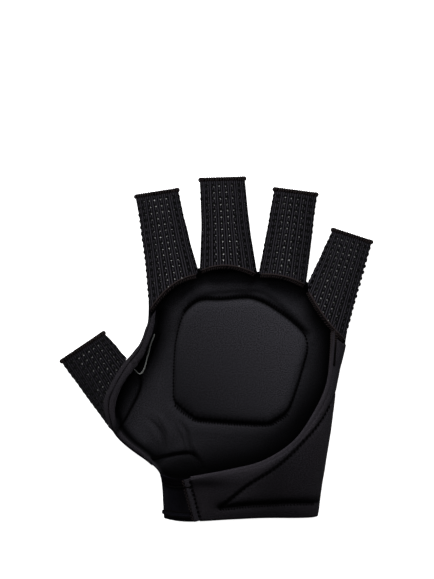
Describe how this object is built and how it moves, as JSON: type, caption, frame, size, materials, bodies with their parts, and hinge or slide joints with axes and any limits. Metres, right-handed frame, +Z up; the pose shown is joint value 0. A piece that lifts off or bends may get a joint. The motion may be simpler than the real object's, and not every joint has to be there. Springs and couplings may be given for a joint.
{
  "type": "field hockey glove",
  "caption": "Open-palm half-finger field hockey glove for the left hand, padded back, knit finger sleeves with open tips, lying on its back.",
  "frame": {"origin": "middle of the bounding box's underside, on the surface that the glove lies on", "axes": "+Y from wrist to fingertips, +X from the thumb side to the little finger side, +Z up out of the palm"},
  "size_m": [0.1734, 0.1894, 0.0221],
  "materials": {
    "padded_cloth": "matte black laminated stretch jersey over foam",
    "pad_lining": "matte near-black brushed jersey",
    "grip_knit": "matte black rib knit with glossy clear silicone dots",
    "elastic": "smooth black elastic with a slight sheen",
    "thread": "matte black overlock thread",
    "ribbon": "plain light grey woven ribbon"
  },
  "bodies": {
    "root": {"back_panel": "padded_cloth", "thumb_back_panel": "padded_cloth", "back_pad": "pad_lining", "heel_panel": "padded_cloth", "rim_binding": "thread", "wrist_gusset": "elastic", "gusset_hem_upper": "thread", "gusset_hem_lower": "thread", "gusset_seam": "thread", "web_strip": "padded_cloth", "inner_tag": "ribbon", "index_sleeve": "grip_knit", "index_tip_hem": "thread", "index_base_hem": "thread", "middle_sleeve": "grip_knit", "middle_tip_hem": "thread", "middle_base_hem": "thread", "ring_sleeve": "grip_knit", "ring_tip_hem": "thread", "ring_base_hem": "thread", "little_sleeve": "grip_knit", "little_tip_hem": "thread", "little_base_hem": "thread", "thumb_sleeve": "grip_knit", "thumb_tip_hem": "thread"}
  },
  "joints": []
}
